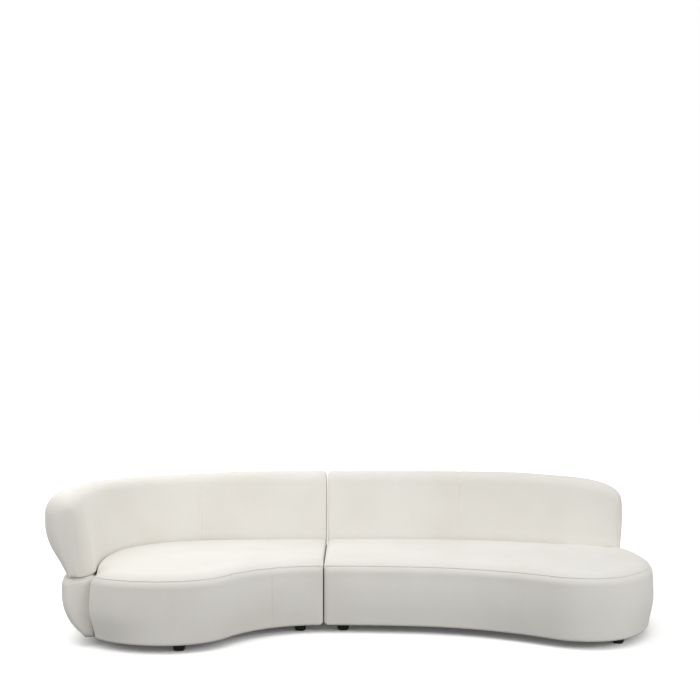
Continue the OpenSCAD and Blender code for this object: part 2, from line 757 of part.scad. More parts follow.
module tongue_profile() {
    translate([mouth_x, flange_z]) square([flange_end[RIGHT] - mouth_x, steel_t]);
    translate([mouth_x, tongue_z]) square([steel_t, base_h - tongue_z]);
    translate([-mouth_x - tongue_reach, tongue_z]) square([2 * mouth_x + tongue_reach + steel_t, steel_t]);
}

module upright(y, width) {
    translate([0, y + width / 2, 0]) rotate([90, 0, 0]) linear_extrude(width) children();
}

module screw_bores(m) {
    for (p = screws(m)) translate([p.x, p.y, 0]) cylinder(d = screw_d + 0.4, h = 2 * base_top);
}

module connector_clamps() {
    color(steel_color) place(LEFT) difference() {
        for (y = connector_y) upright(y, tongue_w + 6) clamp_profile();
        screw_bores(LEFT);
    }
}

module connector_tongues() {
    color(steel_color) place(RIGHT) difference() {
        for (y = connector_y) upright(y, tongue_w) tongue_profile();
        screw_bores(RIGHT);
    }
}

module connector_screws(m) {
    color(steel_color) place(m) for (p = screws(m)) translate([p.x, p.y, flange_z]) {
        translate([0, 0, -2]) cylinder(d = 2 * screw_d, h = 2);
        cylinder(d = screw_d, h = screw_len);
    }
}

base_panel(LEFT);  // base_panel_left
deck(LEFT);  // deck_left
front_wall(LEFT);  // front_wall_left
end_board(LEFT);  // end_board_left
deck_posts(LEFT);  // deck_posts_left
springs(LEFT);  // springs_left
spring_clips(LEFT);  // spring_clips_left
spring_felt(LEFT);  // spring_felt_left
back_ribs(LEFT);  // back_ribs_left
top_rail(LEFT);  // top_rail_left
waist_rail(LEFT);  // waist_rail_left
back_straps(LEFT);  // back_straps_left
dust_cover(LEFT);  // dust_cover_left
seat_cushion(LEFT);  // seat_cushion_left
seat_border(LEFT);  // seat_border_left
end_cover(LEFT);  // end_cover_left
lower_roll(LEFT);  // lower_roll_left
upper_roll(LEFT);  // upper_roll_left
for (i = [1 : 5]) foot(LEFT, i - 1);
foot_glides(LEFT);  // foot_glides_left
foot_bolts(LEFT);  // foot_bolts_left
tee_nuts(LEFT);  // tee_nuts_left
base_panel(RIGHT);  // base_panel_right
deck(RIGHT);  // deck_right
front_wall(RIGHT);  // front_wall_right
end_board(RIGHT);  // end_board_right
deck_posts(RIGHT);  // deck_posts_right
springs(RIGHT);  // springs_right
spring_clips(RIGHT);  // spring_clips_right
spring_felt(RIGHT);  // spring_felt_right
back_ribs(RIGHT);  // back_ribs_right
top_rail(RIGHT);  // top_rail_right
waist_rail(RIGHT);  // waist_rail_right
back_straps(RIGHT);  // back_straps_right
dust_cover(RIGHT);  // dust_cover_right
seat_cushion(RIGHT);  // seat_cushion_right
seat_border(RIGHT);  // seat_border_right
end_cover(RIGHT);  // end_cover_right
lower_roll(RIGHT);  // lower_roll_right
upper_roll(RIGHT);  // upper_roll_right
for (i = [1 : 5]) foot(RIGHT, i - 1);
foot_glides(RIGHT);  // foot_glides_right
foot_bolts(RIGHT);  // foot_bolts_right
tee_nuts(RIGHT);  // tee_nuts_right
connector_clamps();
connector_screws(LEFT);  // clamp_screws
connector_tongues();
connector_screws(RIGHT);  // tongue_screws
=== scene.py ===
# %% [markdown]
# # A curved sofa in two modules
#
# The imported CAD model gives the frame, the feet and the room that each cushion fills. This
# lesson dresses it: rolls, seats and borders get soft covers, and every board, spring and
# foot gets its finish. The frame is loaded first, because all places are read from it.

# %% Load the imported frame
import bpy
import numpy as np
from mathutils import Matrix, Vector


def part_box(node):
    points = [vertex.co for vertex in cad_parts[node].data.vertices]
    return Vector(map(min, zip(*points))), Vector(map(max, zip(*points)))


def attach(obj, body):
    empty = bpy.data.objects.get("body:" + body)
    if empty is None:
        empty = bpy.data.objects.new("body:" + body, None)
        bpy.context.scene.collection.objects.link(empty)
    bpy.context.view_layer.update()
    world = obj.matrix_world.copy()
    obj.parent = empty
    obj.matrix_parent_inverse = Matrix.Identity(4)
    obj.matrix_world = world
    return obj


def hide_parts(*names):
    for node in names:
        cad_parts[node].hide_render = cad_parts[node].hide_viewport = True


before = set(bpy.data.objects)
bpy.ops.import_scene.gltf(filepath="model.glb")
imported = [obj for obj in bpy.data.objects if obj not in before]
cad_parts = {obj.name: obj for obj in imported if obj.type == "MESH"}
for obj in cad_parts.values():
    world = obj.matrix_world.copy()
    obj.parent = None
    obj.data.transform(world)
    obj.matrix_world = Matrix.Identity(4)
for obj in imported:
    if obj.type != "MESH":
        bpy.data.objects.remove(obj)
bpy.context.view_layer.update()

# %% [markdown]
# ## One drawing frame for both modules
#
# A sofa maker draws one module with x running away from the seam and y running to the back,
# and mirrors it for the other. The seam and the front line are read from the two panels
# that face each other there, so nothing has to be fitted by hand.

# %% Where the modules stand
SIDES = {"left": -1.0, "right": 1.0}
PANEL_FRONT = 0.0428
HALF_GAP = 0.003
HEM_Z, WAIST_Z = 0.045, 0.396
seam_x = (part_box("end_cover_left")[1].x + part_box("end_cover_right")[0].x) / 2
front_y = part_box("end_cover_left")[0].y - PANEL_FRONT


def stand(side, x, y, z):
    """Drawing points in the part's frame: x is counted from the seam, and the left module
    is the mirror image of the right one."""
    return np.stack(np.broadcast_arrays(seam_x + SIDES[side] * x, front_y + y, z), axis=-1)


print("seam at", round(seam_x, 4), "front line at", round(front_y, 4))

# %% [markdown]
# ## Plan lines as chains of arcs
#
# The front of each seat and the inner face of each back are bent lines. A chain of arcs
# describes them as a maker would lay out a template: so far, turning by so much. Working
# on whole arrays of distances gives all points of a line at once.


# %% Follow a chain of arcs
def follow(chain, start, s):
    """Point and heading after s metres along a chain of arcs (length, turn in degrees).
    On an arc of radius r from (x, y) with heading h, a turn of w leads to
    (x + r (sin(h + w) - sin h), y + r (cos(h + w) - cos h))."""
    s = np.asarray(s, float)
    x, y, h = start
    begun, out = 0.0, None
    for k, (length, turn) in enumerate(chain):
        turn = np.radians(turn) if abs(turn) > 1e-5 else 1e-7
        low = -np.inf if k == 0 else 0.0
        high = np.inf if k == len(chain) - 1 else length
        w = turn * np.clip(s - begun, low, high) / length
        r = length / turn
        here = np.stack([x + r * (np.sin(h + w) - np.sin(h)),
                         y + r * (np.cos(h + w) - np.cos(h)), h + w])
        out = here if out is None else np.where(s >= begun, here, out)
        x, y, h = (x + r * (np.sin(h + turn) - np.sin(h)),
                   y + r * (np.cos(h + turn) - np.cos(h)), h + turn)
        begun += length
    return out


def total(chain):
    """Length of a chain in metres: the sum of its arcs."""
    return sum(length for length, _ in chain)


def beside(chain, start, s, off):
    """Point that lies off metres square to the line: its point plus off (sin h, cos h)."""
    x, y, h = follow(chain, start, s)
    return x + off * np.sin(h), y + off * np.cos(h)


# %% The back lines and the front lines
SEAT_DEPTH = 0.893
BACK_START = (0.0, SEAT_DEPTH, 0.0)
FRONT_START = (0.0, 0.0, 0.0)
BACK = {
    "left": [(0.815, 8), (0.790, 75), (0.640, 22)],
    "right": [(0.620, 1), (1.025, 28), (0.250, 12)],
}
BACK_LEN = {side: total(BACK[side]) for side in SIDES}
LOWER_ROLL_T = 0.188


def closing_arc(p, q):
    """The arc from state p to point q: its chord makes half the turn with the heading."""
    half = np.arctan2(p[1] - q[1], q[0] - p[0]) - p[2]
    chord = np.hypot(q[0] - p[0], q[1] - p[1])
    return chord * half / np.sin(half), np.degrees(2 * half)


def closing_corner(p, q, end):
    """A straight run and an arc from state p to point q with heading end: the run and the
    radius solve run (cos h, -sin h) + r (sin e - sin h, cos e - cos h) = q - p."""
    ways = np.array([[np.cos(p[2]), np.sin(end) - np.sin(p[2])],
                     [-np.sin(p[2]), np.cos(end) - np.cos(p[2])]])
    run, r = np.linalg.solve(ways, np.array([q[0] - p[0], q[1] - p[1]]))
    return [(run, 0), (r * (end - p[2]), np.degrees(end - p[2]))]


left_lead = [(0.650, 61), (0.390, -59)]
right_lead = [(0.550, 7), (0.820, 31), (0.520, -86), (0.600, -42)]
left_end = follow(BACK["left"], BACK_START, BACK_LEN["left"])
right_end = follow(BACK["right"], BACK_START, BACK_LEN["right"])
right_corner = beside(BACK["right"], BACK_START, BACK_LEN["right"], LOWER_ROLL_T)
FRONT = {
    "left": left_lead + [closing_arc(follow(left_lead, FRONT_START, total(left_lead)), left_end)],
    "right": right_lead + closing_corner(follow(right_lead, FRONT_START, total(right_lead)),
                                         right_corner, right_end[2] - np.pi),
}
FRONT_LEN = {side: total(FRONT[side]) for side in SIDES}
print("front lines", {side: round(float(FRONT_LEN[side]), 3) for side in SIDES})


def ease(x, low, high):
    """0 below low, 1 above high and 3u² - 2u³ between."""
    u = np.clip((x - low) / (high - low), 0, 1)
    return u * u * (3 - 2 * u)


def fullness(side, s):
    """How far stuffing pushes the front line out: at the arm on the left module, and round
    the free end of the right one."""
    if side == "left":
        return 0.034 * ease(s, FRONT_LEN[side] - 0.50, FRONT_LEN[side] - 0.06)
    return 0.030 * ease(s, 1.75, 2.35) * (1 - ease(s, 2.60, FRONT_LEN[side]))


def in_from_front(side, s, g, push=1.0):
    """Point at s along the stuffed front line and g inside it."""
    return beside(FRONT[side], FRONT_START, s, g - push * fullness(side, s))

# %% [markdown]
# ## Outlines
#
# A roll's section is a line through a few corners, each rounded by its own radius, as on a
# foam cutter's template. Spreading points evenly along it keeps the cloth's cells square.


# %% Rounded lines
def line_of(corners, steps=8):
    """Open line through corners (t, z, radius). A corner is cut back by r tan(turn / 2) on
    both sides and bridged by an arc of radius r."""
    line = [np.array(corners[0][:2], float)]
    for before, here, after in zip(corners, corners[1:], corners[2:]):
        p, r = np.array(here[:2], float), (here[2] if len(here) > 2 else 0.0)
        d1, d2 = p - np.array(before[:2]), np.array(after[:2]) - p
        d1, d2 = d1 / np.linalg.norm(d1), d2 / np.linalg.norm(d2)
        turn = np.arctan2(d1[0] * d2[1] - d1[1] * d2[0], d1 @ d2)
        side_step = np.sign(turn) * r * np.array([-d1[1], d1[0]])
        start = p - d1 * r * np.tan(abs(turn) / 2)
        a = np.linspace(0, turn, steps + 1 if r else 1)[:, None]
        line.extend(start + side_step - side_step * np.cos(a) + np.sign(turn) * r * d1 * np.sin(a))
    line.append(np.array(corners[-1][:2], float))
    return np.array(line)


def evenly(line, count):
    """count points at equal distances along a line, both ends among them."""
    at = np.concatenate([[0], np.cumsum(np.linalg.norm(np.diff(line, axis=0), axis=1))])
    where = np.linspace(0, at[-1], count)
    return np.stack([np.interp(where, at, line[:, k]) for k in range(line.shape[1])], axis=1)


def outward_of(line):
    """Unit normals to the right of a line's direction: (dz, -dt) of its slope."""
    slope = np.gradient(line, axis=0)
    normal = np.stack([slope[:, 1], -slope[:, 0]], axis=1)
    return normal / np.linalg.norm(normal, axis=1, keepdims=True)


# %% [markdown]
# ## Skins
#
# Every soft piece is a stack of closed rings, one for each place along its line. Joining
# neighbouring rings by quads and closing both ends gives a skin with no open edge. The sign
# of its volume tells whether the faces point outwards.


# %% Rings to a closed mesh
def skin(name, rings):
    """Neighbouring rings joined by quads, each end ring closed to its own middle point.
    The volume is a sixth of the sum of a . (b x c) over the triangles."""
    rows, cols = rings.shape[:2]
    points = np.concatenate([rings.reshape(-1, 3), rings[:1].mean(1), rings[-1:].mean(1)])
    i, j = np.meshgrid(np.arange(rows - 1), np.arange(cols), indexing="ij")
    a, b = i * cols + j, i * cols + (j + 1) % cols
    quads = np.stack([a, b, b + cols, a + cols], axis=-1).reshape(-1, 4)
    k, after = np.arange(cols), (np.arange(cols) + 1) % cols
    first = np.stack([np.full(cols, rows * cols), after, k], axis=-1)
    top = (rows - 1) * cols
    last = np.stack([np.full(cols, rows * cols + 1), k + top, after + top], axis=-1)
    tris = np.concatenate([quads[:, [0, 1, 2]], quads[:, [0, 2, 3]], first, last])
    p = points - points.mean(0)
    volume = np.einsum("ij,ij->", p[tris[:, 0]], np.cross(p[tris[:, 1]], p[tris[:, 2]])) / 6
    way = 1 if volume > 0 else -1
    faces = quads[:, ::way].tolist() + first[:, ::way].tolist() + last[:, ::way].tolist()
    mesh = bpy.data.meshes.new(name)
    mesh.from_pydata(points.tolist(), [], faces)
    mesh.update()
    mesh.shade_smooth()
    piece = bpy.data.objects.new(name, mesh)
    bpy.context.scene.collection.objects.link(piece)
    return piece


def doubled(grid, soft=True):
    """The grid with a row between each two rows: halfway, or for a soft one at nine
    sixteenths of both less a sixteenth of the rows beyond them, which keeps curves round."""
    middle = (grid[:-1] + grid[1:]) / 2
    if soft:
        wide = np.concatenate([2 * grid[:1] - grid[1:2], grid, 2 * grid[-1:] - grid[-2:-1]])
        middle = (9 * (grid[:-1] + grid[1:]) - wide[:-3] - wide[3:]) / 16
    out = np.empty((2 * len(grid) - 1,) + grid.shape[1:])
    out[0::2], out[1::2] = grid, middle
    return out


def closing_rings(ring, crown):
    """Rings that close an end: its points drawn to their middle by shares f, and raised by
    (1 - f²) crown, a vector."""
    f = np.array([0.12, 0.3, 0.5, 0.7, 0.87])[:, None, None]
    middle = ring.mean(0)
    return middle + (ring - middle) * f + (1 - f * f) * np.asarray(crown, float)


# %% [markdown]
# ## Tight foam under cloth
#
# A cover pulled over foam bulges a little where nothing holds it, and stays where it is
# sewn or stapled. Each form is drawn slightly small, blown up by a short cloth simulation
# while its held points stay pinned, and its travel is limited so that it keeps its room.

# %% Forms waiting for the cloth simulation
FRAMES = 20
forms = []


def soften(name, side, outer, hidden, free, outward, s, nodes, fill=0.9, small=0.006, travel=0.010,
           seams=(), crowns=((0, 0, 0), (0, 0, 0))):
    """Keeps a form: outer is the grid that shows, hidden the one that closes it. The rest
    grid is outer less small free outward."""
    rest = outer - small * free[..., None] * outward
    forms.append(dict(name=name, side=side, rest=rest, hidden=hidden, free=free, outward=outward, s=s,
                      nodes=nodes, fill=fill, travel=travel, small=small, seams=seams, crowns=crowns))
    print(name, "grid", outer.shape[:2], "hidden", hidden.shape[1])


def ironed(field, times=10):
    """Foam keeps short folds out of a cover: every point becomes a quarter, a half and a
    quarter of its neighbours and itself, along both directions of the grid."""
    for _ in range(times):
        for axis in (0, 1):
            f = np.moveaxis(field, axis, 0)
            f[1:-1] = (f[:-2] + 2 * f[1:-1] + f[2:]) / 4
    return field


def blow_up(form):
    """A cloth copy of a form, with its held points pinned."""
    piece = skin(form["name"] + "_cloth", np.concatenate([form["rest"], form["hidden"]], axis=1))
    held = np.ones(len(piece.data.vertices))
    grid = held[:-2].reshape(form["rest"].shape[0], -1)
    grid[:, : form["rest"].shape[1]] = form["free"] < 0.02
    group = piece.vertex_groups.new(name="held")
    group.add(np.flatnonzero(held > 0.5).tolist(), 1.0, "REPLACE")
    cloth = piece.modifiers.new("cloth", "CLOTH")
    cloth.settings.quality = 4
    cloth.settings.mass = 0.3
    cloth.settings.tension_stiffness = 40
    cloth.settings.compression_stiffness = 40
    cloth.settings.shear_stiffness = 15
    cloth.settings.bending_stiffness = 2
    cloth.settings.vertex_group_mass = "held"
    cloth.settings.use_pressure = True
    cloth.settings.uniform_pressure_force = 4
    cloth.settings.effector_weights.gravity = 0
    cloth.collision_settings.use_collision = False
    cloth.point_cache.frame_start, cloth.point_cache.frame_end = 1, FRAMES
    return piece


def coords(piece):
    """A piece's vertices with its modifiers, as an array."""
    shown = piece.evaluated_get(bpy.context.evaluated_depsgraph_get()).data
    co = np.empty(len(shown.vertices) * 3)
    shown.vertices.foreach_get("co", co)
    return co.reshape(-1, 3)


# %% [markdown]
# ## The rolls
#
# The back is two stacked rolls: a fat upper one that leans, and a slimmer lower one. Each is
# its section carried along the back line. Near its ends the section shrinks, which rounds
# them. Inside, the foam leaves the room that the ribs need, as in the CAD model.


# %% Helpers that rolls and borders share
def closer_at(seams, body):
    """Places of sections: those within 20 mm of a seam give way to seven closer ones."""
    for seam in seams:
        body = body[np.abs(body - seam) > 0.020]
        body = np.sort(np.concatenate([body, seam + np.array([-14, -7, -3, 0, 3, 7, 14]) / 1000]))
    return body


def facing(side, heading, across, up):
    """Directions in the part's frame: across is square to the plan line, up is upright."""
    x, y = SIDES[side] * across * np.sin(heading), across * np.cos(heading)
    return np.stack(np.broadcast_arrays(x, y, up), axis=-1)


# %% One roll
END_FOAM = 0.036
SECTION_STEP = 0.024
RAISE_FROM, RAISE_OVER = 0.4, 0.47


def roll(name, side, corners, hollow, foot_line, pivot, half, r0, r1, taper, s1, nodes, seams, hold,
         count, crown, raised=lambda s: 0 * s, filled=None, solid_end=END_FOAM):
    """Section points (t, z) carried along the back line. With inset d at an end, a point is
    pivot + (point - pivot) (1 - d / half). The ends are quarters of an ellipse: d is
    r (1 - sin a) where the distance is r (1 - cos a), or taper (1 - cos a) at the free end.
    Where the foam is solid, foot_line closes the section instead of the hollow. The top
    stands higher by raised(s), fading to nothing at the bottom with the height squared.
    Over the last 0.22 m the section turns into the one given as filled, and over the
    last solid_end it is foam all through."""
    s0 = HALF_GAP
    line = evenly(line_of(corners), count)
    last_line = evenly(line_of(filled or corners), count)
    room = line_of(hollow, 3)[1:-1]
    lips = evenly(np.array([corners[-1][:2]] + foot_line + [corners[0][:2]]), len(room) + 2)[1:-1]
    a = np.linspace(0, np.pi / 2, 8 if taper < 0.2 else 16)
    foam0, foam1 = s0 + max(END_FOAM, r0), s1 - max(solid_end, r1)
    body = closer_at(seams, np.arange(foam0 + 0.02, s1 - max(taper, END_FOAM) - 0.012, SECTION_STEP))
    head, tail = s0 + r0 * (1 - np.cos(a)), s1 - taper * (1 - np.cos(a[::-1]))
    s = np.unique(np.round(np.concatenate([head, [foam0], body, [foam1], tail]), 5))
    s = s[np.concatenate([[True], np.diff(s) > 0.0003])]
    inset = np.interp(s, head, r0 * (1 - np.sin(a))) + np.interp(s, tail, r1 * (1 - np.sin(a[::-1])))
    inset = inset[:, None]
    opened = ((s >= foam0 - 1e-4) & (s <= foam1 + 1e-4))[:, None]

    def carried(points_t, points_z):
        """Section points shrunk towards the pivot, raised, and carried along the line."""
        t = pivot[0] + (points_t - pivot[0]) * (1 - inset / half[0])
        z = pivot[1] + (points_z - pivot[1]) * (1 - inset / half[1])
        height = np.maximum(points_z - RAISE_FROM, 0) / RAISE_OVER
        z = z + raised(s)[:, None] * height**2
        x, y = beside(BACK[side], BACK_START, s[:, None], t)
        return stand(side, x, y, z)

    section = line + (last_line - line) * ease(s, s1 - 0.22, s1 - 0.015)[:, None, None]
    outer = carried(section[..., 0], section[..., 1])
    hidden = carried(np.where(opened, room[:, 0], lips[:, 0]), np.where(opened, room[:, 1], lips[:, 1]))
    heading = follow(BACK[side], BACK_START, s)[2][:, None]
    outward = facing(side, heading, *outward_of(line).T)
    free = hold(line[:, 0], line[:, 1])[None, :] * ease(s, s0 + r0 * 0.5, s0 + 0.16)[:, None]
    if r1 < 0.08:
        free = free * ease(s1 - s, r1 * 0.3, 0.16)[:, None]
    way = np.array([SIDES[side] * np.cos(heading[-1, 0]), -np.sin(heading[-1, 0]), 0]) * crown
    soften(name, side, outer, hidden, free, outward, s, nodes, seams=seams, crowns=((0, 0, 0), way))


# %% Upper rolls
UPPER = [(0.122, 0.3966), (0.160, 0.3966, 0.014), (0.292, 0.616, 0.34), (0.290, 0.870, 0.115),
         (0.100, 0.870, 0.080), (0.0, 0.3966, 0.014), (0.028, 0.3966)]
UPPER_ROOM = [(0.028, 0.3966), (0.0281, 0.4005), (0.1188, 0.804, 0.010), (0.202, 0.804, 0.020),
              (0.2391, 0.7614, 0.040), (0.232, 0.6005, 0.090), (0.122, 0.403), (0.122, 0.3966)]


def upper_hold(t, z):
    """Free on top and outside, held near the seat's crown and at the waist."""
    return np.where(t < 0.12, ease(z, 0.440, 0.53), ease(z, 0.405, 0.50))


ROLL_SEAM = {"left": 0.853, "right": 0.894}
RAISED = {
    "left": lambda s: 0.018 * (1 - ease(s, 0.45, 1.10)),
    "right": lambda s: 0.018 * (1 - ease(s, 1.2, 1.7)),
}
# The outer end: its rounding, the length over which it shrinks, and its way past the line.
UPPER_END = {"left": (0.110, 0.130, 0.0), "right": (0.124, 0.340, 0.027)}
for side, (tip_r, taper, past) in UPPER_END.items():
    roll(f"upper_roll_cover_{side}", side, UPPER, UPPER_ROOM, [], pivot=(0.143, 0.3966),
         half=(0.151, 0.4734), r0=0.028, r1=tip_r, taper=taper, s1=BACK_LEN[side] - 0.0008 + past,
         nodes=[f"upper_roll_{side}"], seams=(ROLL_SEAM[side],), hold=upper_hold, count=76,
         crown=0.006, raised=RAISED[side])

# %% Lower rolls
LOWER = [(0.052, HEM_Z), (0.060, HEM_Z, 0.008), (0.192, 0.178, 0.300), (0.192, 0.378, 0.045),
         (0.160, WAIST_Z, 0.010), (0.1192, WAIST_Z)]
LOWER_FILLED = [(0.052, HEM_Z), (0.188, HEM_Z, 0.012), (0.192, 0.178, 0.5), (0.192, 0.378, 0.045),
                (0.160, WAIST_Z, 0.010), (0.1192, WAIST_Z)]
LOWER_ROOM = [(0.1192, WAIST_Z), (0.1192, 0.388), (0.148, 0.335, 0.030), (0.148, 0.1793, 0.060),
              (0.052, 0.068), (0.052, HEM_Z)]


def lower_hold(t, z):
    """Free on the outside between the hem and the waist."""
    return ease(z, 0.06, 0.14) * (1 - ease(z, 0.32, 0.385))


# The outer end: its rounding, its distance from the line's end, how far it is domed, the
# length that is foam all through, and the section that it turns into.
LOWER_END = {
    "left": (0.045, 0.0004, 0.002, 0.150, None),
    "right": (0.004, 0.001, 0, 0.300, LOWER_FILLED),
}
for side, (end_r, short, dome, solid_end, filled) in LOWER_END.items():
    roll(f"lower_roll_cover_{side}", side, LOWER, LOWER_ROOM, [(0.0, WAIST_Z), (0.0, HEM_Z)],
         pivot=(0.094, 0.2205), half=(0.094, 0.1755), r0=0.020, r1=end_r, taper=end_r,
         s1=BACK_LEN[side] - short, nodes=[f"lower_roll_{side}"], seams=(ROLL_SEAM[side],),
         hold=lower_hold, count=40, crown=dome, filled=filled, solid_end=solid_end)

# %% [markdown]
# ## The seats
#
# A seat is one cushion with a kidney plan. It is drawn as sections that run from the front
# line to the back line. The top edge rolls over softly to the seam with the border, and
# towards the other module the whole top bends down into the gap.

# %% Seat cushions
SEAM_IN, SEAM_Z = 0.0165, 0.4015
EDGE_W, EDGE_R, CROWN = 0.0742, 0.105, 0.004
TUCK, ARM_STOP = 0.060, -0.040


def distance_to(points, line):
    """Shortest plan distance from each point of a grid to a line: the foot on each piece of
    the line is at the share (p - a) . d / d . d, kept between 0 and 1."""
    p = points[..., None, :2]
    a, d = line[:-1, :2], np.diff(line[:, :2], axis=0)
    share = np.clip(((p - a) * d).sum(-1) / np.maximum((d * d).sum(-1), 1e-12), 0, 1)
    return np.linalg.norm(p - a - share[..., None] * d, axis=-1).min(-1)


def seat(side):
    """Each column of a section has a share w of the way from the front line to the back
    line, an inset g from the front and h from the back. From the seam the top rises on an
    arc that starts at 45 degrees: sqrt(R² - (W - u)²) - sqrt(R² - W²) at a distance u,
    and further in by 4 mm more.
    Under the open tip of the right upper roll the cushion is tucked in by 60 mm, and the
    left cushion's back edge stops 40 mm before the arm's end."""
    left = side == "left"
    L, B = FRONT_LEN[side], BACK_LEN[side]
    a, fall = np.linspace(0, np.pi / 2, 9), np.linspace(np.pi / 2, 0, 6)[1:]
    across = np.linspace(0, 1, 38)[1:]
    w = np.concatenate([[0], 0 * a, across, 1 + 0 * fall])
    g = np.concatenate([[0.004], EDGE_W * (1 - np.cos(a)), EDGE_W + 0 * across, EDGE_W + 0 * fall])
    h = np.concatenate([[0.0016], 0.0154 + 0 * a, 0.0154 + 0 * across,
                        0.0016 + 0.0138 * (1 - np.cos(fall))])
    low_w = np.concatenate([[1, 1], np.linspace(1, 0, 6), [0, 0]])
    low_z = np.concatenate([[0.380, 0.320], np.full(6, 0.261), [0.320, 0.3985]])

    b = np.linspace(0, np.pi / 2, 8)
    near = HALF_GAP + 0.036 * (1 - np.cos(b))
    edge = (0.10 if left else 0.03) / L
    shares = np.arange(0.022, L * (1 - edge) - 0.012, 0.022) / L
    shares = np.concatenate([shares, 1 - edge + edge * np.sin(b)])
    corner = np.where(near < 0.031, 0.028 - np.sqrt(np.maximum(0.028**2 - (0.031 - near) ** 2, 0)), 0)
    corner = np.concatenate([corner, 0 * shares])[:, None]

    def section(w, g, h, set_in=0.0):
        """Plan points a share w of the way from the front, g inside it, to the back, h inside."""
        stop_f = L - 0.002 - (0.25 * g if left else h)
        stop_b = B + (ARM_STOP if left else 0.002 + h)
        start = near[:, None] + set_in + 0 * w
        sf = np.concatenate([start, 0.039 + (stop_f - 0.039) * shares[:, None] + 0 * w])
        sb = np.concatenate([start, 0.039 + (stop_b - 0.039) * shares[:, None] + 0 * w])
        room = 1 - 0.7 * ease(sf, L - 0.30, L) if left else 1.0
        fx, fy = in_from_front(side, sf, SEAM_IN + g * room + corner)
        tucked = 0.0 if left else TUCK * ease(sb, B - 0.36, B - 0.08)
        bx, by = beside(BACK[side], BACK_START, sb, tucked - h)
        return stand(side, fx + (bx - fx) * w, fy + (by - fy) * w, 0.0)

    outer = section(w[None], g[None], h[None])
    hem = outer[:, 1]
    if left:
        hem = np.concatenate([hem, outer[-1, 1:-4], outer[-2:-6:-1, -1]])
    u = distance_to(outer, hem)
    last_drop = np.ones(len(b)) if left else np.cos(b) * 0.999
    drop = np.concatenate([np.sin(b), np.ones(len(shares) - len(b)), last_drop])
    inward = EDGE_W - np.minimum(u, EDGE_W)
    lift = np.sqrt(EDGE_R**2 - inward**2) - np.sqrt(EDGE_R**2 - EDGE_W**2)
    lift = lift + CROWN * ease(u, 0.05, 0.35)
    lift = lift * drop[:, None] * np.concatenate([[0], 0 * a + 1, 0 * across + 1, np.sin(fall)])
    outer[..., 2] = SEAM_Z + lift - 0.003 * (np.arange(len(w)) == 0)
    low_g, low_h = np.full_like(low_w, 0.032), np.full_like(low_w, 0.0016)
    hidden = section(low_w[None], low_g[None], low_h[None], 0.009)
    hidden[..., 2] = low_z
    free = (ease(w, 0.0, 0.16) * (1 - ease(w, 0.86, 0.985)))[None, :] * ease(u, 0.02, 0.12)
    rows = np.concatenate([near, 0.039 + shares * (L - 0.041)])
    free = free * ease(rows, 0.03, 0.16)[:, None] * ease(L - rows, 0.0, 0.14)[:, None]
    outward = np.broadcast_to([0.0, 0.0, 1.0], outer.shape)
    soften(f"seat_cover_{side}", side, outer, hidden, free, outward, rows, [f"seat_cushion_{side}"],
           small=0.004, travel=0.009)


for side in SIDES:
    seat(side)

# %% [markdown]
# ## The borders
#
# Below the seat's seam a padded border drops to a hem 45 mm above the floor. At the gap
# between the modules its corner is rounded, and its hem turns under. Its face is held at
# the seam and at the hem, so it bulges slightly between them.


# %% Seat borders
BORDER = [(0.040, HEM_Z), (0.0, HEM_Z, 0.010), (0.0, 0.3816, 0.057), (0.0178, 0.3994, 0.002),
          (0.026, 0.3994)]
BORDER_T, BORDER_H, CORNER_R = 0.042, 0.355, 0.026


def border(side, seams):
    """Profile (g, z) carried along the front line. At the corner next to the gap, the
    inset d of a quarter of radius 26 mm moves a point to g + d (1 - g / thickness), and
    lifts the hem. The face bellies out by 8 mm on the right, and on the left by 4 mm,
    growing to 16 mm where it meets the arm."""
    line = evenly(line_of(BORDER), 36)
    back = np.stack([np.full(5, BORDER_T), np.linspace(0.399, 0.046, 5)], axis=1)
    a = np.linspace(0, np.pi / 2, 7)
    near = HALF_GAP + CORNER_R * (1 - np.cos(a))
    far = FRONT_LEN[side] + (0.010 if side == "left" else -0.002)
    turn = 0.022 if side == "left" else 0.002
    end = far - turn * (1 - np.cos(a[::-1]))
    body = closer_at(seams, np.arange(near[-1] + 0.012, end[0] - 0.006, 0.022))
    s = np.concatenate([near, body, end])
    nook = np.interp(s, near, CORNER_R * (1 - np.sin(a)))[:, None]
    inset = nook + np.interp(s, end, turn * (1 - np.sin(a[::-1])))[:, None]

    def carried(g, z):
        """Profile points pushed out by the belly and carried along the stuffed front line."""
        rise, depth = (z - HEM_Z) / BORDER_H, 1 - g / BORDER_T
        belly = 0.012 * ease(s, far - 0.40, far - 0.05)[:, None] if side == "left" else 0.004
        belly = (0.004 + belly) * np.sin(np.pi * np.clip(rise, 0, 1)) * depth
        belly = belly * ease(s, 0.0, 0.12)[:, None]
        push = 0.25 + 0.75 * ease(rise, 0.0, 0.5)
        x, y = in_from_front(side, s[:, None], g + inset * depth - belly, push)
        return stand(side, x, y, z + nook * (1 - ease(rise, 0.0, 0.3)))

    outer = carried(line[None, :, 0], line[None, :, 1])
    hidden = carried(back[None, :, 0], back[None, :, 1])
    heading = follow(FRONT[side], FRONT_START, s)[2][:, None]
    outward = facing(side, heading, *-outward_of(line).T)
    free = (ease(line[:, 1], 0.055, 0.15) * (1 - ease(line[:, 1], 0.32, 0.392)))[None, :]
    free = free * ease(s, 0.010, 0.10)[:, None] * ease(far - s, 0.0, 0.06)[:, None]
    soften(f"border_{side}", side, outer, hidden, free, outward, s, [f"seat_border_{side}"],
           small=0.003, travel=0.007, seams=seams)


border("left", (0.320,))
border("right", ())

# %% [markdown]
# ## Blow up all forms together
#
# One run of twenty frames moves every cloth copy. Reading the result and limiting each
# point's travel keeps the covers inside their room: outwards by t tanh(rise / t), inwards
# not at all, because the foam is there. The grids are then doubled, which gives round
# highlights, and the sewn lines are pressed in along the normals.

